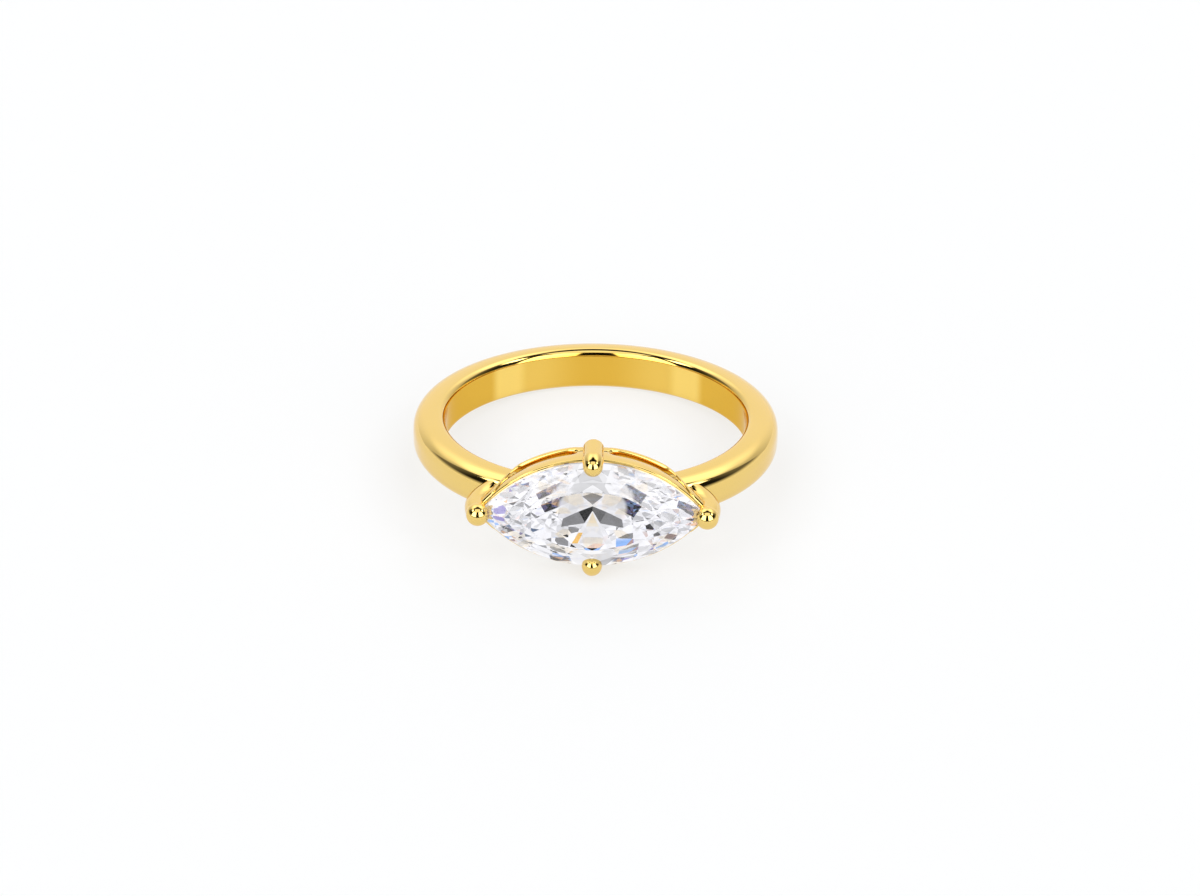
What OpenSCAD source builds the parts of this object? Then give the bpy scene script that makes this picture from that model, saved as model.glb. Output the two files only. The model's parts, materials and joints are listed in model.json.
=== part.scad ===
// Ring with a marquise stone set along the band, held by four prongs on a two-rail gallery.
// It is modelled as it lies on a table: on the back edge of the shank and on the lower side prong.
// Inside rest_pose() the finger hole's axis is Z and the head faces -Y. All sizes are in mm.

/* [Shank] */
// Diameter of the finger hole
finger_d = 17; // [16:0.1:18.5]
// Radial thickness of the shank
shank_t = 1.8; // [1.7:0.05:2]
// Width of the shank along the finger
shank_w = 2.41; // [2.2:0.01:2.6]
// Squareness of the shank's outer face: 2 is an ellipse, higher is squarer
shank_squareness = 3.1; // [2.4:0.1:4]
// Rounding of the shank's two inner edges
inner_round = 0.45; // [0.3:0.01:0.5]

/* [Stone] */
// Length of the stone from point to point
stone_l = 12.6; // [12.2:0.1:12.8]
// Width of the stone at the belly
stone_w = 6.3; // [6.1:0.1:6.4]
// Height of the crown from girdle to table
crown_h = 0.95; // [0.8:0.05:1.1]
// Thickness of the girdle
girdle_h = 0.16; // [0.1:0.02:0.2]
// Depth of the pavilion from girdle to culet
pavilion_h = 2; // [1.9:0.05:2.1]
// Distance of the culet outside the finger hole
culet_clear = 0.1; // [0.05:0.05:0.3]
// Length of the table as a share of the stone's length
table_l_share = 0.62; // [0.56:0.01:0.66]
// Width of the table as a share of the stone's width
table_w_share = 0.56; // [0.5:0.01:0.6]
// Gap between stone and metal
stone_gap = 0.03; // [0.02:0.01:0.05]

/* [Gallery] */
// How far the rails stand out past the girdle
rail_proud = 0.13; // [0.08:0.01:0.2]
// Wall of the rails, measured inwards from the outer face
rail_wall = 0.78; // [0.7:0.02:0.9]
// Distance of the base rail outside the finger hole
base_rail_clear = 0.2; // [0.1:0.05:0.3]
// Height of the base rail
base_rail_h = 0.4; // [0.36:0.02:0.5]
// Height of the open slot between the rails
slot_h = 0.56; // [0.4:0.02:0.6]
// Distance of the slot's outer end from the middle of the head
slot_reach = 5.1; // [4.8:0.1:5.3]
// Half width of the web that joins the rails behind each side prong
web_half_w = 0.86; // [0.75:0.01:1]

/* [Prongs] */
// Radius of the side prongs
side_prong_r = 0.6; // [0.55:0.01:0.62]
// Radius of the side prongs' tips
side_tip_r = 0.55; // [0.5:0.01:0.56]
// Radius of the tip prongs
tip_prong_r = 0.62; // [0.58:0.01:0.64]
// Radius of the balls on the tip prongs
tip_ball_r = 0.68; // [0.66:0.01:0.72]
// Bend radius of the tip prongs
tip_bend_r = 2.4; // [2.2:0.1:2.6]
// Angle at which the tip prongs leave the shank, away from the direction the head faces
tip_splay = 40; // [36:1:42]

/* [Hidden] */
$fn = 96;

finger_r = finger_d / 2;
shank_half_w = shank_w / 2;
profile_steps = 9;
corner_steps = 3;

// The navette outline is two equal arcs that meet at the points
half_l = stone_l / 2;
half_w = stone_w / 2;
arc_r = (half_l * half_l + half_w * half_w) / (2 * half_w);
arc_offset = arc_r - half_w;
arc_angle = asin(half_l / arc_r);

// Heights along the head, measured from the finger's axis
culet_at = finger_r + culet_clear;
girdle_low = culet_at + pavilion_h;
girdle_high = girdle_low + girdle_h;
table_at = girdle_high + crown_h;
base_rail_at = finger_r + base_rail_clear;
slot_at = base_rail_at + base_rail_h;
rim_drop = 0.05;
rail_top = girdle_low - rim_drop;

// Side prongs: a post beside the rails, a ball at the bend and a claw over the crown
side_clear = 0.15;
dome_flat = 0.2;
bend_swell = 0.04;
claw_rise = 0.22;
claw_drop = 0.15;
tip_overlap = 0.02;
side_z = half_w + stone_gap;
side_end = finger_r + side_clear;
side_dome_r = side_prong_r + dome_flat;
side_rim = side_end + side_dome_r - sqrt(side_dome_r * side_dome_r - side_prong_r * side_prong_r);
side_bend = girdle_high + claw_rise;
side_bend_r = side_prong_r + bend_swell;
side_tip_z = side_z - claw_drop;
side_tip_at = side_bend + claw_rise;

// Tip prongs: an arm out of the shank, a bend and a post that ends in a ball
tip_stand_off = 0.23;
ball_lean = 0.07;
ball_rise = 0.12;
bend_drop = 0.8;
arm_l = 1.7;
root_depth = 0.35;
tip_x = half_l + tip_stand_off;
tip_ball_x = tip_x - ball_lean;
tip_ball_at = girdle_high + ball_rise;
bend_end = girdle_high - bend_drop;
arm_root_r = finger_r + root_depth;

// Rest pose: the lower side prong and the back of the shank touch the table
support_q = shank_squareness / (shank_squareness - 1);
function shank_support(t_part, w_part) =
    pow(pow(shank_t * t_part, support_q) + pow(shank_half_w * w_part, support_q), 1 / support_q);
function prong_low(tilt) = side_rim * sin(tilt) - (side_z + side_prong_r) * cos(tilt);
function shank_low(tilt) = -finger_r * sin(tilt) - shank_support(sin(tilt), cos(tilt));
function find_tilt(low, high, steps) =
    let (middle = (low + high) / 2)
    steps == 0 ? middle
    : prong_low(middle) < shank_low(middle) ? find_tilt(middle, high, steps - 1)
    : find_tilt(low, middle, steps - 1);
tilt = find_tilt(0, 20, 24);
front_reach = max(side_tip_at * cos(tilt) + side_tip_z * sin(tilt) + side_tip_r,
                  side_bend * cos(tilt) + side_z * sin(tilt) + side_bend_r);
back_reach = finger_r * cos(tilt) + shank_support(cos(tilt), sin(tilt));
lift = -prong_low(tilt);

module rest_pose() {
    translate([0, (front_reach - back_reach) / 2, lift]) rotate([-tilt, 0, 0]) children();
}

// Local z of its children is the distance from the finger's axis towards the stone
module on_head(distance) {
    translate([0, -distance, 0]) rotate([90, 0, 0]) children();
}

// Stone outline grown by a distance
module navette(grow) {
    intersection() {
        translate([0, arc_offset]) circle(r = arc_r + grow, $fn = 180);
        translate([0, -arc_offset]) circle(r = arc_r + grow, $fn = 180);
    }
}

// Upper half of the shank's section: a round inner edge, then a superellipse whose points
// are taken at even steps of the direction that its surface faces
function corner_points() = [
    for (i = [0 : corner_steps])
        let (a = 90 * i / corner_steps)
        [finger_r + inner_round * (1 - cos(a)), shank_half_w - inner_round * (1 - sin(a))]
];
function facing_point(a) =
    let (support = shank_support(cos(a), sin(a)))
    [finger_r + shank_t * pow(shank_t * cos(a) / support, support_q - 1),
     shank_half_w * pow(shank_half_w * sin(a) / support, support_q - 1)];
function outer_points() = [
    for (i = [profile_steps - 1 : -1 : 0]) facing_point(90 * (i + 0.5) / profile_steps)
];

module shank() {
    upper = concat(corner_points(), outer_points());
    lower = [for (i = [len(upper) - 1 : -1 : 0]) [upper[i][0], -upper[i][1]]];
    rotate_extrude($fn = 180) polygon(concat(upper, lower));
}

// Rails and the solid ends of the gallery, with the slot between the rails
module gallery() {
    difference() {
        on_head(base_rail_at) linear_extrude(rail_top - base_rail_at) navette(rail_proud);
        for (side = [-1, 1])
            translate([side * (slot_reach + web_half_w) / 2, 0, 0]) slot();
    }
}

// Long hexagon with its points halfway up, cut through both rails
module slot() {
    point_x = (slot_reach - web_half_w) / 2;
    corner_x = point_x - slot_h / 2;
    corner_z = slot_h / 2;
    on_head(slot_at + slot_h / 2)
        rotate([90, 0, 0]) linear_extrude(2 * stone_w, center = true)
            polygon([[-point_x, 0], [-corner_x, -corner_z], [corner_x, -corner_z],
                     [point_x, 0], [corner_x, corner_z], [-corner_x, corner_z]]);
}

// Round prong at the middle of a long side; its rear end is a low dome
module side_prong() {
    on_head(side_end) translate([0, side_z, 0])
        intersection() {
            cylinder(r = side_prong_r, h = side_bend - side_end);
            union() {
                translate([0, 0, side_dome_r]) sphere(r = side_dome_r);
                translate([0, 0, side_dome_r]) cylinder(r = side_dome_r, h = side_bend);
            }
        }
    on_head(side_bend) translate([0, side_z, 0]) sphere(r = side_bend_r);
    on_head(side_bend)
        translate([0, side_z, 0])
            rotate([atan2(claw_drop, claw_rise), 0, 0])
                cylinder(r1 = side_prong_r, r2 = side_tip_r - tip_overlap,
                         h = norm([claw_drop, claw_rise]));
    on_head(side_tip_at) translate([0, side_tip_z, 0]) sphere(r = side_tip_r);
}

// Round prong at a point of the stone, rising out of the shank's shoulder
module tip_prong() {
    on_head(bend_end) translate([tip_x, 0, 0])
        cylinder(r = tip_prong_r, h = tip_ball_at - bend_end);
    on_head(tip_ball_at) translate([tip_ball_x, 0, 0]) sphere(r = tip_ball_r);
    translate([tip_x - tip_bend_r, -bend_end, 0])
        rotate_extrude(angle = tip_splay)
            translate([tip_bend_r, 0]) circle(r = tip_prong_r, $fn = 48);
    difference() {
        translate([tip_x - tip_bend_r, -bend_end, 0])
            rotate([0, 0, tip_splay]) translate([tip_bend_r, 0, 0])
                rotate([-90, 0, 0]) cylinder(r = tip_prong_r, h = arm_l);
        cylinder(r = arm_root_r, h = 2 * shank_w, center = true);
    }
}

// Opening through the gallery and the shank under the stone
module pocket() {
    on_head(finger_r / 2)
        linear_extrude(girdle_low - finger_r / 2) navette(rail_proud - rail_wall);
}

module mounting() {
    color([0.93, 0.74, 0.32])
    difference() {
        union() {
            shank();
            gallery();
            for (side = [0, 1]) {
                mirror([0, 0, side]) side_prong();
                mirror([side, 0, 0]) tip_prong();
            }
        }
        pocket();
        stone_body(stone_gap);
    }
}

// Sixteen stations round the girdle, starting at the right point; even ones carry the main facets
stations = 16;
function station_angle(i) = arc_angle * (1 - i / 4);
function outline(i) =
    i >= stations ? outline(i - stations)
    : i > 8 ? -outline(i - 8)
    : [arc_r * sin(station_angle(i)), arc_r * cos(station_angle(i)) - arc_offset];
function tangent(i) =
    i >= stations ? tangent(i - stations)
    : i >= 8 ? -tangent(i - 8)
    : i == 0 ? [0, 1]
    : [-cos(station_angle(i)), sin(station_angle(i))];
function cross2(a, b) = a[0] * b[1] - a[1] * b[0];
// Point where the main facets of stations i and i + 2 meet at a share of the way to their inner ends
function facet_meet(i, inner, share) =
    let (
        start = outline(i) * (1 - share) + inner(i) * share,
        other = outline(i + 2) * (1 - share) + inner(i + 2) * share,
        reach = cross2(other - start, tangent(i + 2)) / cross2(tangent(i), tangent(i + 2))
    )
    start + tangent(i) * reach;
table_corner = function(i) [outline(i)[0] * table_l_share, outline(i)[1] * table_w_share];
culet_point = function(i) [0, 0];

crown_share = 0.5;
pavilion_share = 0.76;
function at(point, z) = [point[0], point[1], z];
mains = stations / 2;
stone_points = concat(
    [for (m = [0 : mains - 1]) at(table_corner(2 * m), girdle_h + crown_h)],
    [for (m = [0 : mains - 1])
        at(facet_meet(2 * m, table_corner, crown_share), girdle_h + crown_h * crown_share)],
    [for (i = [0 : stations - 1]) at(outline(i), girdle_h)],
    [for (i = [0 : stations - 1]) at(outline(i), 0)],
    [for (m = [0 : mains - 1])
        at(facet_meet(2 * m, culet_point, pavilion_share), -pavilion_h * pavilion_share)],
    [[0, 0, -pavilion_h]]
);
first_star = mains;
first_high = 2 * mains;
first_low = first_high + stations;
first_keel = first_low + stations;
culet = first_keel + mains;
function next(m) = (m + 1) % mains;
function before(m) = (m + mains - 1) % mains;
stone_faces = concat(
    [[for (m = [mains - 1 : -1 : 0]) m]],
    [for (m = [0 : mains - 1]) [m, next(m), first_star + m]],
    [for (m = [0 : mains - 1]) [m, first_star + m, first_high + 2 * m]],
    [for (m = [0 : mains - 1]) [m, first_high + 2 * m, first_star + before(m)]],
    [for (m = [0 : mains - 1]) [first_star + m, first_high + 2 * m + 1, first_high + 2 * m]],
    [for (m = [0 : mains - 1]) [first_star + m, first_high + 2 * next(m), first_high + 2 * m + 1]],
    [for (i = [0 : stations - 1])
        let (j = (i + 1) % stations)
        [first_high + i, first_high + j, first_low + j, first_low + i]],
    [for (m = [0 : mains - 1]) [first_keel + m, first_low + 2 * m, first_low + 2 * m + 1]],
    [for (m = [0 : mains - 1]) [first_keel + m, first_low + 2 * m + 1, first_low + 2 * next(m)]],
    [for (m = [0 : mains - 1]) [culet, first_low + 2 * m, first_keel + m]],
    [for (m = [0 : mains - 1]) [culet, first_keel + before(m), first_low + 2 * m]]
);

// Cut stone, grown about its middle when it is used to cut its seat
module stone_body(grow) {
    on_head(girdle_low)
        scale(1 + grow / half_w)
            polyhedron(points = stone_points, faces = stone_faces, convexity = 2);
}

module marquise_stone() {
    color([0.93, 0.96, 1, 0.6]) stone_body(0);
}

rest_pose() mounting();
rest_pose() marquise_stone();
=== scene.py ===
import json
import math

import bmesh
import bpy
import numpy as np
from mathutils import Matrix


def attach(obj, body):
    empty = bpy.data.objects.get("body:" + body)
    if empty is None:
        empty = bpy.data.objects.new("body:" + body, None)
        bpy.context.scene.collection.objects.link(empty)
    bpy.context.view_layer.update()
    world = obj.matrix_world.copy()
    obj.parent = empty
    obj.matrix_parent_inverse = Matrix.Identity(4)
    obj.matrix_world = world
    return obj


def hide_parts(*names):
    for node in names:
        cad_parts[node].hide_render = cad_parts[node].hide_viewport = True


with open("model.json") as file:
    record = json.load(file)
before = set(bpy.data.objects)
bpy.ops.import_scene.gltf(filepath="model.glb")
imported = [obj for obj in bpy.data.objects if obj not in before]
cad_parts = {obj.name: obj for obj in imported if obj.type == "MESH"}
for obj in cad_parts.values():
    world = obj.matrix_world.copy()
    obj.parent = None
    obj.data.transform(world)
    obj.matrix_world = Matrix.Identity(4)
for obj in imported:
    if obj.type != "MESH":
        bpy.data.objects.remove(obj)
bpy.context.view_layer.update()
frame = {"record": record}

# The view
# A long lens looks down on the head from the front, so the ring shows with hardly any perspective.
# The ring lies on its side, with its finger hole nearly upright, and leans a little on its head.
finger_hole = frame["record"]["mounts"][0]
hole_centre = np.array(finger_hole["pos_m"])
finger_axis = np.array(finger_hole["axis"])
ring_across = np.array([1.0, 0.0, 0.0])
ring_back = np.cross(finger_axis, ring_across)
finger_r = finger_hole["dims"]["r_mm"]
mm = 0.001


def seated(points):
    """Places points of the ring on the table. They are in mm: x across the ring, y to its back and
    z along the finger."""
    points = np.asarray(points, float)
    turned = points[..., :1] * ring_across + points[..., 1:2] * ring_back + points[..., 2:] * finger_axis
    return hole_centre + mm * turned


photo_w, photo_h = 1200, 896
pixels_per_mm = 17.72
hole_in_photo = (595.5, 432.7)
camera_elevation = math.radians(33.28)
camera_azimuth = math.radians(0.66)
camera_roll = math.radians(0.55)
camera_distance = 0.8
camera_near, camera_far = 0.05, 20.0
sensor_mm = 36.0
bounces = 14

towards_camera = np.array([
    math.sin(camera_azimuth) * math.cos(camera_elevation),
    -math.cos(camera_azimuth) * math.cos(camera_elevation),
    math.sin(camera_elevation),
])
level_right = np.cross([0.0, 0.0, 1.0], towards_camera)
level_right /= np.linalg.norm(level_right)
level_up = np.cross(towards_camera, level_right)
view_right = level_right * math.cos(camera_roll) + level_up * math.sin(camera_roll)
view_up = level_up * math.cos(camera_roll) - level_right * math.sin(camera_roll)
aim = (
    hole_centre
    + view_right * mm * (photo_w / 2 - hole_in_photo[0]) / pixels_per_mm
    - view_up * mm * (photo_h / 2 - hole_in_photo[1]) / pixels_per_mm
)
camera_data = bpy.data.cameras.new("camera")
camera_data.sensor_width = sensor_mm
camera_data.lens = sensor_mm * camera_distance / (mm * photo_w / pixels_per_mm)
camera_data.clip_start = camera_near
camera_data.clip_end = camera_far
camera = bpy.data.objects.new("camera", camera_data)
bpy.context.scene.collection.objects.link(camera)
camera_turn = np.eye(4)
camera_turn[:3, 0] = view_right
camera_turn[:3, 1] = view_up
camera_turn[:3, 2] = towards_camera
camera_turn[:3, 3] = aim + towards_camera * camera_distance
camera.matrix_world = Matrix(camera_turn.tolist())
bpy.context.scene.camera = camera
bpy.context.scene.view_settings.view_transform = "Standard"
light_paths = bpy.context.scene.cycles
light_paths.max_bounces = bounces
light_paths.glossy_bounces = bounces
light_paths.transmission_bounces = bounces


# Shank
# The band of the ring, yellow gold, cast and polished: a squared, rounded outside, a straight
# inside and well rounded inner edges. The head's pocket, nearly as long as the stone, opens its front.
shank_t = 1.8
shank_half_w = 1.205
shank_squareness = 3.1
inner_round = 0.45
stone_l = 12.6
stone_w = 6.3
half_l, half_w = stone_l / 2, stone_w / 2
arc_r = (half_l ** 2 + half_w ** 2) / (2 * half_w)
arc_offset = arc_r - half_w
rail_inside = -0.65
steps_round = 360
points_per_half = 40
first_facing = 88
sharp_edge = math.radians(38)
weld = 1e-7


def closed_mesh(name, grid, looped=False, paired=False):
    """A grid of points as a closed skin: columns go round the section, rows along the path. The ends
    are joined where the path is a loop, and else filled: with one face, or where the section's
    two halves are paired, with a strip between them."""
    rows, columns = grid.shape[:2]
    index = np.arange(rows * columns).reshape(rows, columns)
    if looped:
        index = np.vstack([index, index[:1]])
    around = np.roll(index, -1, axis=1)
    faces = np.stack([index[:-1], around[:-1], around[1:], index[1:]], axis=-1).reshape(-1, 4).tolist()
    if paired:
        k = np.arange(columns // 2 - 1)
        strip = np.stack([k, k + 1, columns - 2 - k, columns - 1 - k], axis=-1)
        faces += strip[:, ::-1].tolist() + (strip + index[-1, 0]).tolist()
    elif not looped:
        faces += [index[0, ::-1].tolist(), index[-1].tolist()]
    mesh = bpy.data.meshes.new(name)
    mesh.from_pydata(seated(grid).reshape(-1, 3).tolist(), [], faces)
    skin = bmesh.new()
    skin.from_mesh(mesh)
    bmesh.ops.remove_doubles(skin, verts=skin.verts, dist=weld)
    bmesh.ops.dissolve_degenerate(skin, edges=skin.edges, dist=weld / 10)
    bmesh.ops.recalc_face_normals(skin, faces=skin.faces)
    skin.to_mesh(mesh)
    skin.free()
    mesh.shade_smooth()
    mesh.set_sharp_from_angle(angle=sharp_edge)
    piece = bpy.data.objects.new(name, mesh)
    bpy.context.scene.collection.objects.link(piece)
    return piece


class Level:
    """A shader value that Python's arithmetic works on: each operator adds the Math node it needs."""

    def __init__(self, tree, socket):
        self.tree = tree
        self.socket = socket

    def maths(self, operation, *values):
        """One Math node on the values given, Levels or plain numbers."""
        node = self.tree.nodes.new("ShaderNodeMath")
        node.operation = operation
        for slot, value in zip(node.inputs, values):
            if isinstance(value, Level):
                self.tree.links.new(value.socket, slot)
            else:
                slot.default_value = value
        return Level(self.tree, node.outputs[0])

    def __add__(self, other):
        return self.maths("ADD", self, other)

    def __radd__(self, other):
        return self.maths("ADD", other, self)

    def __sub__(self, other):
        return self.maths("SUBTRACT", self, other)

    def __rsub__(self, other):
        return self.maths("SUBTRACT", other, self)

    def __mul__(self, other):
        return self.maths("MULTIPLY", self, other)

    def __rmul__(self, other):
        return self.maths("MULTIPLY", other, self)

    def between(self, low, high, soft):
        """1 from low to high, 0 outside, with smooth edges soft wide centred on the limits."""
        return self.above(low, soft) * (1 - self.above(high, soft))

    def above(self, limit, soft):
        """0 below limit, 1 above it, with a smooth edge soft wide centred on it."""
        node = self.tree.nodes.new("ShaderNodeMapRange")
        node.interpolation_type = "SMOOTHSTEP"
        self.tree.links.new(self.socket, node.inputs["Value"])
        node.inputs["From Min"].default_value = limit - soft / 2
        node.inputs["From Max"].default_value = limit + soft / 2
        return Level(self.tree, node.outputs["Result"])


class Finish:
    """The node tree of a material or of the studio, and the means to add nodes to it."""

    def __init__(self, owner):
        owner.use_nodes = True
        self.tree = owner.node_tree
        self.tree.nodes.clear()

    def node(self, kind, settings=None, **sockets):
        """Adds a node, gives it its settings, then fills its sockets; _ in a name stands for a space."""
        node = self.tree.nodes.new("ShaderNode" + kind)
        for name, value in (settings or {}).items():
            if name == "stops":
                ramp = node.color_ramp
                while len(ramp.elements) < len(value):
                    ramp.elements.new(0.5)
                for element, (place, colour) in zip(ramp.elements, value):
                    element.position = place
                    element.color = colour
            else:
                setattr(node, name, value)
        for name, value in sockets.items():
            socket = node.inputs[name.replace("_", " ")]
            if isinstance(value, Level):
                self.tree.links.new(value.socket, socket)
            elif isinstance(value, bpy.types.NodeSocket):
                self.tree.links.new(value, socket)
            else:
                socket.default_value = value
        return node

    def level(self, socket):
        """A node's output as a Level."""
        return Level(self.tree, socket)


gold_base = (0.835, 0.59, 0.15, 1.0)
gold_worn = (0.815, 0.565, 0.135, 1.0)
gold_edge = (0.95, 0.78, 0.45, 1.0)
# Painted reflections on the finger's wall: a deeper gold painted as shade and a brighter gold painted as
# highlight
wall_painted_shade = (0.76, 0.455, 0.05, 1.0)
wall_painted_highlight = (0.97, 0.69, 0.17, 1.0)
polish = 0.05
polish_drift = 0.04
wall_skin, skin_blend = 0.08, 0.1
# Reach in degrees off the back and shares of the painted bright bands on the finger's wall
band_from, band_core, band_to = 14, 30, 43
band_rise, band_edge = 22, 5
band_share, core_share = 0.42, 0.5
coat_off_wall = 0.8


def polished_gold():
    """Mirror-polished yellow gold under a clear shine. Its colour and gloss drift a little over the
    piece, and the polishing wheel leaves a waviness far too low to feel. The finger's wall has painted
    reflections in its colour: a deeper gold painted as shade for its own far side, and two painted
    bright bands where it would see out past the head, some degrees off the back of the ring."""
    metal = bpy.data.materials.new("polished gold")
    finish = Finish(metal)
    place = finish.node("TexCoord").outputs["Object"]
    drift = finish.node("TexNoise", Vector=place, Scale=260.0, Detail=2.0).outputs["Fac"]
    wheel = finish.node("TexNoise", Vector=place, Scale=900.0, Detail=1.0).outputs["Fac"]
    colour = finish.node("MixRGB", Fac=drift, Color1=gold_base, Color2=gold_worn).outputs["Color"]
    wave = finish.node("Bump", Height=wheel, Strength=0.04, Distance=0.00002).outputs["Normal"]

    off_hole = finish.node("VectorMath", {"operation": "SUBTRACT"})
    finish.tree.links.new(place, off_hole.inputs[0])
    off_hole.inputs[1].default_value = hole_centre
    across, back = (finish.node("VectorMath", {"operation": "DOT_PRODUCT"}) for _ in range(2))
    for dot, axis in ((across, ring_across), (back, ring_back)):
        finish.tree.links.new(off_hole.outputs[0], dot.inputs[0])
        dot.inputs[1].default_value = axis
    across, back = finish.level(across.outputs["Value"]), finish.level(back.outputs["Value"])
    radius = (across * across + back * back).maths("SQRT", across * across + back * back) * (1 / mm)
    inside = 1 - radius.above(finger_r + wall_skin, skin_blend)
    turn = across.maths("ARCTAN2", across, back) * (180 / math.pi)
    off_back = turn.maths("ABSOLUTE", turn)
    # Painted bright bands on the finger's wall, mixed from its painted shade to its painted highlight
    painted_band = band_share * off_back.above(band_from, band_rise) * (1 - off_back.above(band_to, band_edge))
    painted_band_core = core_share * off_back.between(band_core, band_to, band_edge)
    wall = finish.node("MixRGB", Fac=painted_band + painted_band_core, Color1=wall_painted_shade, Color2=wall_painted_highlight).outputs["Color"]
    colour = finish.node("MixRGB", Fac=inside, Color1=colour, Color2=wall).outputs["Color"]
    surface = finish.node(
        "BsdfPrincipled", Base_Color=colour, Specular_Tint=gold_edge, Metallic=1.0, Normal=wave,
        Roughness=polish + polish_drift * finish.level(drift),
        Coat_Weight=1 - coat_off_wall * inside, Coat_Roughness=0.03, Coat_IOR=1.6,
    )
    finish.node("OutputMaterial", Surface=surface.outputs[0])
    return metal


gold = polished_gold()


def gold_piece(piece):
    """Gives a piece the gold and solders it to the mounting."""
    piece.data.materials.append(gold)
    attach(piece, "root")
    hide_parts("mounting")


def band_section():
    """The shank's section as radius and height, the outside down and the inside back up. The outside
    is a superellipse, its points at even steps of the direction that the surface faces. The
    inside is straight at the hole's radius and turns out in quarter circles at its edges."""
    q = shank_squareness / (shank_squareness - 1)
    facing = np.radians(np.linspace(first_facing, 0, points_per_half))
    out, up = np.cos(facing), np.sin(facing)
    support = ((shank_t * out) ** q + (shank_half_w * up) ** q) ** (1 / q)
    radius = finger_r + shank_t * (shank_t * out / support) ** (q - 1)
    height = shank_half_w * (shank_half_w * up / support) ** (q - 1)
    straight = shank_half_w - inner_round
    into_edge = np.maximum(height - straight, 0) / (height[0] - straight)
    inner_radius = finger_r + (radius[0] - finger_r) * (1 - np.sqrt(1 - into_edge ** 2))
    outside = np.stack([radius, height], axis=-1)
    inside = np.stack([inner_radius, height], axis=-1)
    outside = np.concatenate([outside, outside[-2::-1] * [1, -1]])
    inside = np.concatenate([inside, inside[-2::-1] * [1, -1]])
    return np.concatenate([outside, inside[::-1]])


def open_band():
    """Turns each point of the section about the finger's axis, from the pocket's wall on one side
    round the back to the wall on the other. At a height z the wall stands at
    x = sqrt(r * r - (z + offset) ** 2), the pocket's outline."""
    radius, height = band_section().T
    wall = np.sqrt((arc_r + rail_inside) ** 2 - (np.abs(height) + arc_offset) ** 2)
    reach = np.pi - np.arcsin(wall / radius)
    angle = reach * np.linspace(-1, 1, steps_round)[:, None]
    return np.stack([radius * np.sin(angle), radius * np.cos(angle), height + 0 * angle], axis=-1)


shank = closed_mesh("shank", open_band(), paired=True)
gold_piece(shank)


# Base rail
# A flat navette-shaped rail of gold next to the finger. It follows the stone's outline, is
# soldered to the shank's shoulders and curves up to the upper rail beside both points.
rail_proud = 0.13
base_low, base_high = finger_r + 0.2, finger_r + 0.5
slot_h = 0.72
slot_reach = 5.5
web_half_w = 0.86
slot_root, slot_tail, tail_power = 0.12, 0.22, 0.8
web_overlap = 0.02
base_corner = (0.2, 0.3)
rise_from, rise_run = 4.0, 1.7
base_rise = 1.1
base_bulge = 0.12
under_rim = 0.06
rail_steps = 160


def navette(place, grow):
    """The stone's outline, grown: place runs 0 to 2 round it, one arc of a circle for each long side."""
    radius = arc_r + grow
    half_angle = np.arccos(arc_offset / radius)
    side = np.where(place < 1, 1.0, -1.0)
    angle = half_angle * (1 - 2 * (place % 1.0))
    x = side * radius * np.sin(angle)
    z = side * (radius * np.cos(angle) - arc_offset)
    return x, z


def slot_open(x):
    """How far the slot between the rails opens at x, 0 to 1. It is round where it leaves the web
    beside the side prong and runs out slowly towards the stone's point."""
    share = np.clip((np.abs(x) - web_half_w) / (slot_reach - web_half_w), 0, 1)
    root = np.clip(share / slot_root, 0, 1)
    tail = np.clip((1 - share) / slot_tail, 0, 1)
    return np.sqrt(root * (2 - root)) * (tail * (2 - tail)) ** tail_power


def rounded_box(corner, steps=6):
    """Section of a rail: a unit square, 0 to 1 both ways, with quarter ellipses for its corners."""
    arc = np.radians(np.linspace(0, 90, steps))
    pieces = []
    for turn, (cx, cy) in enumerate([(1, 1), (0, 1), (0, 0), (1, 0)]):
        a = arc + turn * np.pi / 2
        centre = (cx - corner[0] * (2 * cx - 1), cy - corner[1] * (2 * cy - 1))
        round_corner = [centre[0] + corner[0] * np.cos(a), centre[1] + corner[1] * np.sin(a)]
        pieces.append(np.stack(round_corner, axis=-1))
    return np.concatenate(pieces)


def rail(section, low, high, proud):
    """Carries a section round the navette. Its first number runs from the inner face at 0 to the outer
    at 1, its second from the edge nearest the finger at 0 to the edge at the stone at 1."""
    place = np.linspace(0, 2, rail_steps * 2, endpoint=False)[:, None]
    stands_out = proud(navette(place, 0)[0])
    grow = rail_inside + (stands_out - rail_inside) * section[None, :, 0]
    x, z = navette(place, grow)
    out = low(x) + (high(x) - low(x)) * section[None, :, 1]
    return np.stack([x, -out, z], axis=-1)


def near_point(x):
    """0 along the middle of the rail, 1 beside the points, with a smooth step between."""
    share = np.clip((np.abs(x) - rise_from) / rise_run, 0, 1)
    return share ** 2 * (3 - 2 * share)


slot_low, slot_high = base_high, base_high + slot_h
slot_middle = (slot_low + slot_high) / 2
rim_at = finger_r + 2.05
base_rail = closed_mesh("base_rail", rail(
    rounded_box(base_corner),
    low=lambda x: base_low + base_rise * near_point(x),
    high=lambda x: np.minimum(
        slot_middle + web_overlap - (slot_middle - slot_low) * slot_open(x) + base_rise * near_point(x),
        rim_at - under_rim,
    ),
    proud=lambda x: rail_proud + base_bulge * near_point(x),
), looped=True)
gold_piece(base_rail)


# Upper rail
# The taller navette rail that holds the stone: flat outside, its rim just under the girdle, with
# a bevelled seat cut into it for the stone's lower side.
girdle_low = finger_r + 2.1
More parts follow.
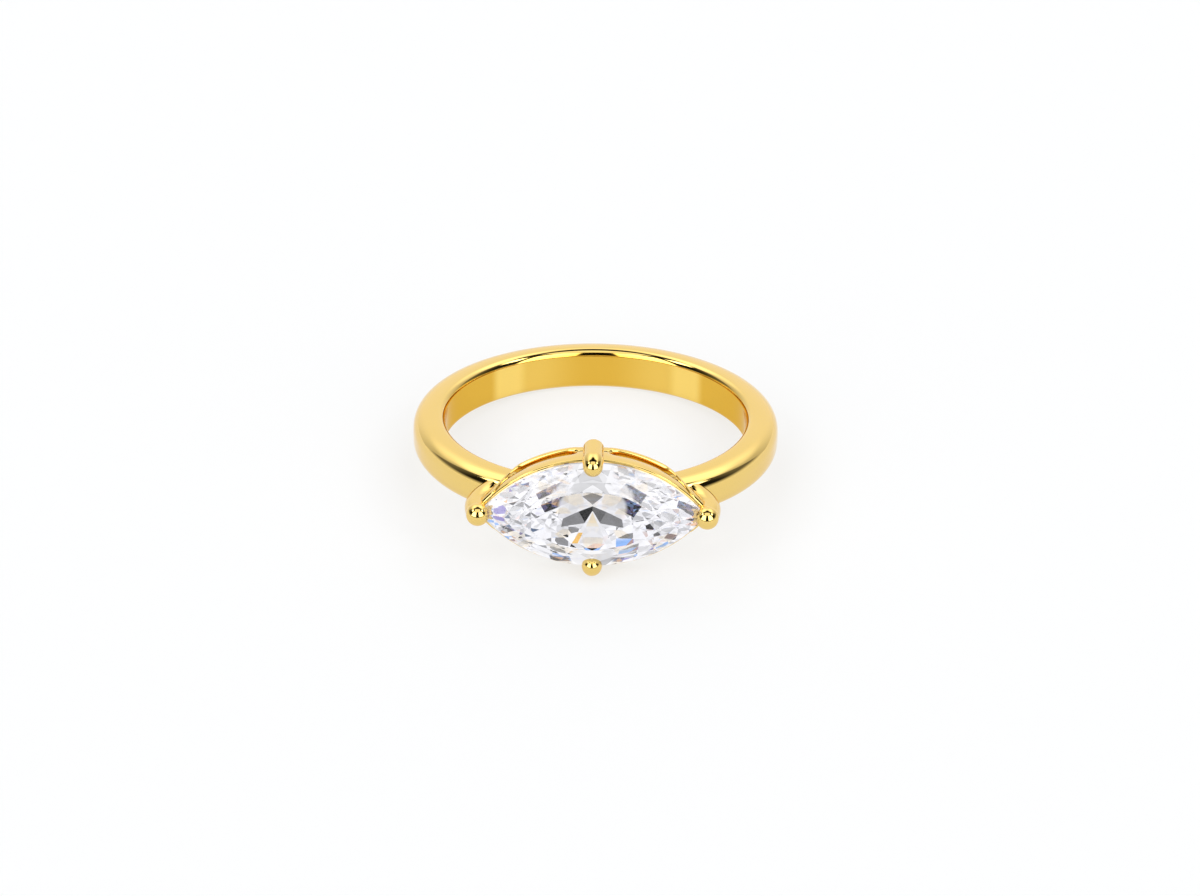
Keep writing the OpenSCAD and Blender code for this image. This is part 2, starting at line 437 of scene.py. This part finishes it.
# Each point's place from the inner face to the outer, and from the lower edge to the rim
seat_section = np.array([
    (0.94, 0.0), (0.98, 0.02), (1.0, 0.06), (1.0, 0.92), (0.985, 0.97), (0.95, 1.0), (0.87, 1.0),
    (0.85, 0.985), (0.04, 0.53), (0.01, 0.51), (0.0, 0.48), (0.0, 0.04), (0.03, 0.0),
])
upper_rail = closed_mesh("upper_rail", rail(
    seat_section,
    low=lambda x: slot_middle + (slot_high - slot_middle) * slot_open(x),
    high=lambda x: rim_at + 0 * x,
    proud=lambda x: rail_proud + 0 * x,
), looped=True)
gold_piece(upper_rail)


# Side prongs
# Two round claws of gold wire soldered outside the rails at the middle of the long sides. Each
# stands as a short post with a domed rear end and bends over the stone's crown.
side_r = 0.6
side_z = half_w + 0.03
side_rear = finger_r + 0.05
girdle_h = 0.16
girdle_high = girdle_low + girdle_h
side_bend_at = girdle_high - girdle_h
side_bend_r = 0.7
side_bend = math.radians(32)
side_tip_r = 0.57
claw_stretch = 1.08
rear_dome_l, rear_dome_r = 0.45, 0.54
post_gap = 0.03
end_from = 4
rear_steps, post_steps, bend_steps, end_steps = 16, 24, 16, 20
closed_r = 1e-4
ring_points = 48


def wire(path, normal, radius, flatness=1.0):
    """A round wire: circles of the given radii stand square to a path that bends in one plane.
    normal is that plane's normal, and flatness the wire's thickness along it over its width."""
    along = np.gradient(path, axis=0)
    along /= np.linalg.norm(along, axis=1)[:, None]
    side = np.cross(along, normal)
    angle = np.linspace(0, 2 * np.pi, ring_points, endpoint=False)
    radius = np.asarray(radius)[:, None, None]
    flatness = (np.zeros(len(path)) + flatness)[:, None, None]
    return (
        path[:, None]
        + radius * np.cos(angle)[None, :, None] * side[:, None]
        + radius * flatness * np.sin(angle)[None, :, None] * np.asarray(normal)
    )


def side_prong_points():
    """Rear dome, straight post, bend and rounded end in turn, each a stretch of path and radius."""
    edge = np.radians(np.linspace(90, 0, rear_steps))
    rear_at = side_rear + rear_dome_l * (1 - np.sin(edge))
    rear_r = np.maximum(side_r - rear_dome_r + rear_dome_r * np.cos(edge), closed_r)
    post_at = np.linspace(rear_at[-1] + post_gap, side_bend_at, post_steps)
    turn = np.linspace(0, side_bend, bend_steps)[1:]
    tip = np.radians(np.linspace(end_from, 90, end_steps))
    rear = np.stack([0 * rear_at, -rear_at, side_z + 0 * rear_at], -1)
    post = np.stack([0 * post_at, -post_at, side_z + 0 * post_at], -1)
    bend = np.stack([
        0 * turn, -side_bend_at - side_bend_r * np.sin(turn), side_z - side_bend_r * (1 - np.cos(turn))
    ], -1)
    bend_r = side_r + (side_tip_r - side_r) * turn / side_bend
    heading = np.array([0, -math.cos(side_bend), -math.sin(side_bend)])
    end = bend[-1] + heading * claw_stretch * side_tip_r * np.sin(tip)[:, None]
    end_r = np.maximum(side_tip_r * np.cos(tip), closed_r)
    return (
        np.concatenate([rear, post, bend, end]),
        np.concatenate([rear_r, side_r + 0 * post_at, bend_r, end_r]),
    )


prong_path, prong_r = side_prong_points()
for side, name in ((1, "side_prong_top"), (-1, "side_prong_bottom")):
    gold_piece(closed_mesh(name, wire(prong_path * [1, 1, side], (1.0, 0.0, 0.0), prong_r)))


# Tip prongs
# Two round arms of gold grow out of the shank's shoulders, bend towards the stone's points and
# end in balls that press on them. At the root they swell into the shank.
tip_x = half_l + 0.23
tip_r = 0.62
ball_x = half_l + 0.1
ball_at = girdle_high + 0.24
ball_r = 0.65
bend_r = 2.0
bend_end = girdle_high - 0.8
splay = math.radians(55)
arm_l = 0.5
root_swell = 0.6
arm_steps, curve_steps, neck_steps, cap_steps = 14, 24, 14, 18


def tip_prong_points():
    """Straight arm out of the shank, bend and post in turn, then the ball at the stone's point, as a
    path, its radii and each point's share of the way back to the root."""
    arm = np.linspace(arm_l, 0, arm_steps, endpoint=False)
    bend = np.linspace(splay, 0, curve_steps)
    foot_x = tip_x - bend_r + bend_r * math.cos(splay)
    foot_at = bend_end - bend_r * math.sin(splay)
    arm_points = np.stack([
        foot_x - arm * math.sin(splay), -(foot_at - arm * math.cos(splay)), 0 * arm
    ], -1)
    bend_points = np.stack([
        tip_x - bend_r + bend_r * np.cos(bend), -(bend_end - bend_r * np.sin(bend)), 0 * bend
    ], -1)
    share = np.linspace(0, 1, neck_steps)[1:]
    post_points = np.stack([
        tip_x + (ball_x - tip_x) * share ** 2, -(bend_end + (ball_at - bend_end) * share), 0 * share
    ], -1)
    cap = np.radians(np.linspace(0, 90, cap_steps))[1:]
    ball_points = np.stack([
        ball_x + 0 * cap, -(ball_at + ball_r * np.sin(cap)), 0 * cap
    ], -1)
    neck = ball_at - bend_end
    post_r = np.maximum(tip_r, np.sqrt(np.maximum(ball_r ** 2 - ((1 - share) * neck) ** 2, 0)))
    radius = np.concatenate([
        tip_r + 0 * arm, tip_r + 0 * bend, post_r, np.maximum(ball_r * np.cos(cap), closed_r)
    ])
    travel = arm + bend_r * splay
    root = np.concatenate([travel / travel[0], bend_r * bend / travel[0], 0 * share, 0 * cap])
    return np.concatenate([arm_points, bend_points, post_points, ball_points]), radius, root


arm_path, arm_r, arm_root = tip_prong_points()
swell = 1 + root_swell * arm_root ** 2
for side, name in ((1, "tip_prong_right"), (-1, "tip_prong_left")):
    gold_piece(closed_mesh(name, wire(arm_path * [side, 1, 1], (0.0, 0.0, 1.0), arm_r, swell)))


# Stone
# A clear marquise brilliant, cut and polished: a large table, kites, stars and halves on the crown,
# a thin girdle, and mains and halves that meet at the culet. Four prongs hold it down on its seat.
crown_h = 0.95
pavilion_h = 2.0
table_at = girdle_high + crown_h
cut_depth = 1e-6
smallest_edge = 0.002
# A facet's place along a side, its slope in degrees and how far it is set off the girdle's edge
girdle_places = np.linspace(0, 1, 19)
pavilion_facets = (
    [(0.0, 32.4, 0.0), (0.36, 30.4, 0.0), (0.72, 26.0, 0.0)]
    + [(place, 36.0, 0.0) for place in (0.1, 0.26, 0.46, 0.62)]
    + [(place, 33.0, 0.0) for place in (0.83, 0.95)]
)
crown_facets = (
    [(0.0, 34.4, 0.0), (0.25, 34.0, 0.0), (0.5, 32.5, 0.0), (0.75, 30.5, 0.0), (1.0, 28.5, 0.0)]
    + [(place, 39.0, 0.0) for place in (0.07, 0.18, 0.32, 0.43, 0.57, 0.68, 0.82, 0.93)]
    + [(place, 24.0, 0.33) for place in (0.125, 0.375, 0.625, 0.875)]
)


def ground_stone():
    """The stone as the cutter makes it: a block, ground flat once for each facet. A facet's row gives
    its place along a side, 0 at the middle and 1 at the point, its slope from the girdle's plane in
    degrees, and how far it is set off the girdle's edge along the stone's axis. Each is ground
    on both sides of both middle planes, square to the outline at its place."""
    block = bmesh.new()
    bmesh.ops.create_cube(block, size=2.0)
    culet_at = girdle_low - pavilion_h
    for corner in block.verts:
        corner.co.x *= stone_l
        corner.co.y = -table_at if corner.co.y < 0 else -culet_at
        corner.co.z *= stone_w
    ground = [(place, 90.0, girdle_low, 1) for place in girdle_places]
    ground += [(place, slope, girdle_low - off, 1) for place, slope, off in pavilion_facets]
    ground += [(place, slope, girdle_high + off, -1) for place, slope, off in crown_facets]
    for place, slope, at, towards_finger in ground:
        outline_angle = place * math.acos(arc_offset / arc_r)
        steep, flat = math.sin(math.radians(slope)), math.cos(math.radians(slope))
        for across in (1, -1):
            for up in (1, -1):
                out_x, out_z = across * math.sin(outline_angle), up * math.cos(outline_angle)
                edge = (arc_r * out_x, -at, arc_r * out_z - up * arc_offset)
                cut = bmesh.ops.bisect_plane(
                    block, geom=block.verts[:] + block.edges[:] + block.faces[:], dist=cut_depth,
                    plane_co=edge, plane_no=(out_x * steep, towards_finger * flat, out_z * steep),
                    clear_outer=True,
                )["geom_cut"]
                rim = [part for part in cut if isinstance(part, bmesh.types.BMEdge)]
                if len(rim) > 2:
                    bmesh.ops.holes_fill(block, edges=rim, sides=0)
    bmesh.ops.remove_doubles(block, verts=block.verts, dist=smallest_edge)
    bmesh.ops.dissolve_degenerate(block, edges=block.edges, dist=smallest_edge / 20)
    bmesh.ops.recalc_face_normals(block, faces=block.faces)
    return block


# Edges of the facets' painted images in the stone: the polygons' sizes and stretch and the directions of
# their sides, the rays' directions, and for each stray edge its facing and distance from the culet
culet_shift = 0.44
ring_sizes = (0.7, 1.2, 1.8, 2.4, 2.8)
ring_stretch = 1.9
ring_turns = (0, 12, 28, 50, 90, 130, 152, 168, 180)
rays = (22, 45, 75, 100, 114, 152)
stray_edges = (
    (8, 0.9), (-14, -0.6), (168, 1.3), (20, 1.9), (-30, -1.9),
    (75, 2.6), (-70, 3.1), (-5, 0.2), (40, -2.4), (-50, 2.9),
    (55, 1.5), (-62, 1.9), (18, 0.75), (-20, 0.55), (84, 2.1), (-84, 1.85),
)
# Patches of painted shade: middle x and z, half length, half width, slant in degrees and how much they dim
painted_dark_spots = (
    (2.0, 0.1, 0.6, 0.45, -30, 0.92),
    (5.1, -0.2, 0.6, 0.3, -20, 0.9),
    (-2.1, 0.25, 0.75, 0.3, 25, 0.88),
    (-1.7, -2.95, 0.6, 0.3, 10, 0.9),
    (1.3, -2.9, 0.4, 0.25, -10, 0.88),
    (-4.6, -1.2, 0.5, 0.25, 30, 0.8),
    (4.2, -1.5, 0.4, 0.2, -25, 0.8),
    (-3.6, 0.9, 0.5, 0.2, 35, 0.7),
)
# Edges of the main facets' painted images, each a facing in degrees from upright and a distance
main_edges = {
    "low_main": (-122, 0.17), "low_middle": (-115, 0.18),
    "base": (180, 2.15), "base_corner": (180, 1.55), "base_rim": (180, 1.2),
    "wing_top": (204, 0.0), "wing_low": (188, 0.95), "wing_end": (80, 1.5), "wing_root": (120, 0.85),
    "kite_side": (135, -0.08), "kite_top": (22, 0.86),
}
edge_step = 0.731
# Where the lots start that the cells draw: for their painted whites, their painted fire and the crown's
# painted images
white_lot, fire_lot, pale_lot = 35.65, 16.55, 14.5
fire_spread = 1.7
fire_squash, fire_from, fire_blend = 0.23, 3.8, 2.0
calm_x, calm_z, calm_blend, calm_share = 0.28, 0.5, 0.3, 0.8
mirror_share, glow_share = 0.32, 0.61
pale_glow = 0.92
table_mirror = 0.25
table_skin = 0.012
girdle_skin, girdle_blend = 0.02, 0.01
crown_facing = -0.02
# The crown's painted pale glow and painted images: reach across, blend and shares
pale_half, pale_blend = 1.15, 0.3
pale_share, image_share = 0.75, 0.15


def grey(level):
    """The stone's white at a level, a touch blue."""
    return (level, level, level * 1.03, 1.0)


class GemFinish(Finish):
    """Finishes of the stone. A stone's painted colour, which stands for the light it returns, is worked
    out at a point's place in the ring, in mm, from a mosaic of cells between straight edges: rays
    from the culet, the sides of nested polygons round it and some strays."""

    def __init__(self, owner):
        super().__init__(owner)
        place = self.node("Attribute", {"attribute_name": "stone_place"}).outputs["Vector"]
        parts = self.node("SeparateXYZ", Vector=place).outputs
        self.x, self.z = self.level(parts["X"]), self.level(parts["Z"]) - culet_shift
        self.depth = 0 - self.level(parts["Y"])
        self.off_middle = self.x.maths("ABSOLUTE", self.x)

    def beyond(self, across, facing, reach):
        """1 past the straight edge that faces that many degrees from upright, reach from the culet."""
        turn = math.radians(facing)
        distance = across * math.sin(turn) + self.z * math.cos(turn)
        return distance.maths("GREATER_THAN", distance, reach)

    def cell(self):
        """A number that is the same all over a cell and differs from its neighbours'."""
        edges = [self.beyond(self.off_middle, ray + 90, 0.0) for ray in rays]
        for size in ring_sizes:
            for turn in ring_turns:
                angle = math.radians(turn)
                reach = size * math.hypot(ring_stretch * math.sin(angle), math.cos(angle))
                edges.append(self.beyond(self.off_middle, turn, reach))
        edges += [self.beyond(self.x, turn, reach) for turn, reach in stray_edges]
        total = 0.0
        for number, edge in enumerate(edges):
            total = edge * (1 + edge_step * number) + total
        return total

    def mosaic(self, seed, stops, dim=0.0):
        """One of the stops' colours for each cell; a lot falls on a lower stop the more it is dimmed."""
        lot = self.level(self.node("TexWhiteNoise", {"noise_dimensions": "1D"}, W=seed).outputs["Value"])
        ramp = self.node("ValToRGB", {"stops": stops}, Fac=lot * (1 - dim))
        ramp.color_ramp.interpolation = "CONSTANT"
        return ramp.outputs["Color"]

    def zone(self, at_x, at_z, half_x, half_z, slant):
        """1 inside a slanted rectangle of the given middle and half sides."""
        turn = math.radians(slant)
        off_x, off_z = self.x - at_x, self.z - at_z
        along = off_x * math.cos(turn) + off_z * math.sin(turn)
        across = off_z * math.cos(turn) - off_x * math.sin(turn)
        inside = 1.0
        for off, half in ((along, half_x), (across, half_z)):
            inside = off.maths("LESS_THAN", off.maths("ABSOLUTE", off), half) * inside
        return inside

    def lit_by(self, colour, mirror=mirror_share, glow=glow_share):
        """Painted light that stands for what comes back from inside: part is mirrored from the studio, part
        glows evenly as emission.
        """
        mirrored = self.node(
            "MixRGB", {"blend_type": "MULTIPLY"}, Fac=1.0, Color1=colour, Color2=grey(mirror)
        ).outputs["Color"]
        return self.node(
            "BsdfPrincipled", Base_Color=mirrored, Metallic=1.0, Roughness=0.0,
            Emission_Color=colour, Emission_Strength=glow,
        ).outputs[0]


whites = [
    (0.0, grey(0.0)), (0.018, grey(0.05)), (0.032, grey(0.30)), (0.065, grey(0.62)),
    (0.2, grey(0.86)), (0.42, grey(1.1)),
]
pale_whites = [(0.0, grey(0.55)), (0.15, grey(0.76)), (0.4, grey(0.93)), (0.65, grey(1.05))]
fires = [
    (0.0, (0.30, 0.25, 0.62, 1.0)), (0.03, (0.30, 0.52, 0.95, 1.0)), (0.06, (1.0, 0.58, 0.30, 1.0)),
    (0.08, (0.45, 0.30, 0.28, 1.0)), (0.10, (0.95, 0.76, 0.70, 1.0)), (0.14, (1.0, 1.0, 1.0, 1.0)),
]


def returned_light():
    """The pavilion as it shows through the crown, painted: a mosaic of painted reflections of the facets
    in each other, most of them white, and a few near the rim in one of fire's colours. Below the culet
    stands a painted pale main facet between two dark wings of painted shade, and above it a painted
    grey kite; spots of painted shade and a painted warm glint lie among them."""
    gem = bpy.data.materials.new("returned light")
    finish = GemFinish(gem)
    x, z = finish.x, finish.z
    past = {name: finish.beyond(finish.off_middle, *edge) for name, edge in main_edges.items()}
    dim = 0.0
    for *spot, share in painted_dark_spots:
        dim = share * finish.zone(*spot) + dim
    cell = finish.cell()
    near_rim = (x * x * fire_squash + z * z).above(fire_from, fire_blend)
    colour = finish.node(
        "MixRGB", {"blend_type": "MULTIPLY"}, Fac=(near_rim + dim).maths("MINIMUM", near_rim + dim, 1.0),
        Color1=finish.mosaic(cell + white_lot, whites, dim),
        Color2=finish.mosaic(cell * fire_spread + fire_lot, fires, dim),
    ).outputs["Color"]
    left = x.maths("LESS_THAN", x, 0.0)
    on_girdle = finish.depth.above(girdle_low - girdle_skin, girdle_blend)
    low_main = past["low_main"] * (1 - past["base"])
    low_middle = past["low_middle"] * (1 - past["base"])
    wings = past["wing_top"] * (1 - low_main) * (1 - past["wing_low"]) * (1 - past["wing_end"])
    wing_roots = wings * (1 - past["wing_root"])
    kite = (1 - past["kite_side"]) * (1 - past["kite_top"])
    painted_warm_glint = low_main * (1 - low_middle) * left * past["base_corner"]
    calm = 1 - (x * x * calm_x + z * z * calm_z).above(1.0, calm_blend)
    # Painted light over the mosaic: a pale calm middle, dark wings and wing roots of painted shade, a grey
    # kite, pale main facets, a painted warm glint in one corner, and the girdle's own frosted grey
    for mask, shade in (
        (calm_share * calm, grey(0.93)),
        (wings, grey(0.27)),
        (wing_roots * (1 - left), grey(0.14)),
        (wing_roots * left, grey(0.0)),
        (kite, grey(0.33)),
        (low_main, grey(1.0)),
        (low_middle, (1.0, 0.93, 0.80, 1.0)),
        (low_middle * past["base_rim"], grey(0.93)),
        (painted_warm_glint, (1.0, 0.60, 0.16, 1.0)),
        (on_girdle, grey(0.86)),
    ):
        colour = finish.node("MixRGB", Fac=mask, Color1=colour, Color2=shade).outputs["Color"]
    finish.node("OutputMaterial", Surface=finish.lit_by(colour))
    return gem


def clear_diamond():
    """Colourless diamond, which bends light hard. Between the side prongs the crown's facets are mixed
    with a painted pale glow, and elsewhere with faint painted images of their own. The table stays clear."""
    gem = bpy.data.materials.new("clear diamond")
    finish = GemFinish(gem)
    clear = finish.node(
        "BsdfPrincipled", Base_Color=(1.0, 1.0, 1.0, 1.0), Roughness=0.0, IOR=2.417,
        Transmission_Weight=1.0, Specular_Tint=grey(table_mirror),
    )
    on_crown = 1 - finish.depth.above(table_at - table_skin, table_skin)
    middle = 1 - finish.off_middle.above(pale_half, pale_blend)
    # Painted images of the crown's facets and a painted pale glow, mixed over the clear diamond between the
    # side prongs
    images = finish.mosaic(finish.cell() + pale_lot, pale_whites)
    pale = finish.lit_by(images, mirror=0.0, glow=pale_glow)
    shown = finish.node("MixShader", Fac=on_crown * (pale_share * middle + image_share))
    finish.tree.links.new(clear.outputs[0], shown.inputs[1])
    finish.tree.links.new(pale, shown.inputs[2])
    finish.node("OutputMaterial", Surface=shown.outputs[0])
    return gem


block = ground_stone()
# The crown's facets, which face the front, take the clear diamond with its painted overlay; the others show
# the painted returned light
for facet in block.faces:
    facet.smooth = False
    facet.material_index = 1 if facet.normal.y > crown_facing else 0
stone_mesh = bpy.data.meshes.new("marquise_stone_cut")
block.to_mesh(stone_mesh)
block.free()
cut_points = np.empty(3 * len(stone_mesh.vertices))
stone_mesh.vertices.foreach_get("co", cut_points)
stone_place = stone_mesh.attributes.new("stone_place", "FLOAT_VECTOR", "POINT")
stone_place.data.foreach_set("vector", cut_points)
stone_mesh.vertices.foreach_set("co", seated(cut_points.reshape(-1, 3)).ravel())
stone_mesh.update()
stone_mesh.materials.append(clear_diamond())
stone_mesh.materials.append(returned_light())
stone = bpy.data.objects.new("marquise_stone_cut", stone_mesh)
bpy.context.scene.collection.objects.link(stone)
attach(stone, "root")
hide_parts("marquise_stone")


# Table top
# A plain matt white table under the ring, lit from below too, so that it stays nearly white and
# the ring's shadow stays soft.
floor_half = 0.5
table_white = (0.22, 0.226, 0.233, 1.0)
table_glow = 0.69
floor_mesh = bpy.data.meshes.new("table_top")
corners = [(x, y, 0) for x, y in ((-1, -1), (1, -1), (1, 1), (-1, 1))]
floor_mesh.from_pydata((np.array(corners) * floor_half).tolist(), [], [(0, 1, 2, 3)])
floor = bpy.data.objects.new("table_top", floor_mesh)
bpy.context.scene.collection.objects.link(floor)
paint = bpy.data.materials.new("white table")
finish = Finish(paint)
surface = finish.node(
    "BsdfPrincipled", Base_Color=table_white, Roughness=0.9,
    Emission_Color=(1.0, 1.0, 1.0, 1.0), Emission_Strength=table_glow,
)
finish.node("OutputMaterial", Surface=surface.outputs[0])
floor_mesh.materials.append(paint)


# Studio
# White walls and soft boxes stand all round, with a dark gap where the camera looks in, dark flags
# low at both sides, and a dark arch and a dark patch overhead, the arch with a lit window. The camera
# itself sees a plain pale backdrop.
studio_white = (1.0, 0.99, 0.975, 1.0)
backdrop_white = (0.985, 0.985, 0.985, 1.0)
wall_light, box_light, glow = 1.08, 1.45, 0.01
shoulder_light, side_light, slit_light, window_light = 0.4, 3.4, 4.0, 1.3
# Angles are in degrees: elevation from the horizon, azimuth from the back of the ring, and
# over_front from the horizon in front up over the top. A blend is how soft an edge is.
wall_top, wall_top_blend = 40, 12
wall_fall, fall_at, fall_blend = 0.45, 40, 50
gap_from, box_gap_from, gap_blend = 118, 102, 8
flag_from, flag_lean, flag_top = 52, 0.5, 45
flag_blend, flag_end_blend, flag_top_blend = 2, 5, 3
low_glow_share, low_glow_to, low_glow_blend = 0.97, 6, 20
near_glow_share, near_glow_to, near_glow_blend = 0.16, 82, 30
# The lamps' reaches round from the back and up from the horizon: from, to and blend
shoulder_round, shoulder_up = (18, 60, 24), (27, 60, 14)
side_round, side_up = (119, 164, 5), (6, 52, 6)
slit_round, slit_up = (86, 106, 3), (39, 52, 3)
# The arch and its window: half width as a share of the sphere's, its blend, and reach over the front
arch_half, arch_blend, arch_over = 0.58, 0.05, (48, 105, 5)
window_half, window_blend, window_over = 0.42, 0.04, (57, 89, 3)
zenith_lean = math.radians(78)
overhead_reach = math.radians(15)
overhead_blend = 0.05

world = bpy.data.worlds.new("studio")
bpy.context.scene.world = world
finish = Finish(world)
ray = finish.node("TexCoord").outputs["Generated"]
parts = finish.node("SeparateXYZ", Vector=ray).outputs
x, y, z = (finish.level(parts[i]) for i in range(3))
azimuth = x.maths("ARCTAN2", x, y) * (180 / math.pi)
from_back = azimuth.maths("ABSOLUTE", azimuth)
elevation = z.maths("ARCSINE", z) * (180 / math.pi)
over_front = z.maths("ARCTAN2", z, 0 - y) * (180 / math.pi)
off_centre = x.maths("ABSOLUTE", x)
to_zenith = y * math.cos(zenith_lean) + z * math.sin(zenith_lean)

flag_edge = from_back - flag_lean * elevation
flags = (
    flag_edge.above(flag_from, flag_blend) * (1 - from_back.above(gap_from, flag_end_blend))
    * (1 - elevation.above(flag_top, flag_top_blend))
)
low_glow = (
    low_glow_share * (1 - elevation.above(low_glow_to, low_glow_blend))
    + near_glow_share * (1 - from_back.above(near_glow_to, near_glow_blend))
)
up_the_wall = elevation.above(wall_top, wall_top_blend)
back_fall = 1 - wall_fall * from_back.above(fall_at, fall_blend)
back_wall = wall_light * back_fall * (1 - from_back.above(gap_from, gap_blend)) * (1 - up_the_wall)
boxes_above = box_light * up_the_wall * (1 - from_back.above(box_gap_from, gap_blend))
shoulder_boxes = shoulder_light * from_back.between(*shoulder_round) * elevation.between(*shoulder_up)
side_boxes = side_light * from_back.between(*side_round) * elevation.between(*side_up)
slits = slit_light * from_back.between(*slit_round) * elevation.between(*slit_up)
dark_arch = (1 - off_centre.above(arch_half, arch_blend)) * over_front.between(*arch_over)
window = (1 - off_centre.above(window_half, window_blend)) * over_front.between(*window_over)
overhead_gap = to_zenith.above(math.cos(overhead_reach), overhead_blend)
walls = (back_wall + boxes_above) * (1 - flags) + flags * low_glow
lamps = shoulder_boxes * (1 - flags) + side_boxes + slits + window_light * window + glow
lit = walls * (1 - overhead_gap) * (1 - dark_arch) + lamps
seen_by_camera = finish.node("LightPath").outputs["Is Camera Ray"]
studio = finish.node("Background", Color=studio_white, Strength=lit)
backdrop = finish.node("Background", Color=backdrop_white, Strength=1.0)
shown = finish.node("MixShader", Fac=seen_by_camera)
finish.tree.links.new(studio.outputs[0], shown.inputs[1])
finish.tree.links.new(backdrop.outputs[0], shown.inputs[2])
finish.node("OutputWorld", Surface=shown.outputs[0])
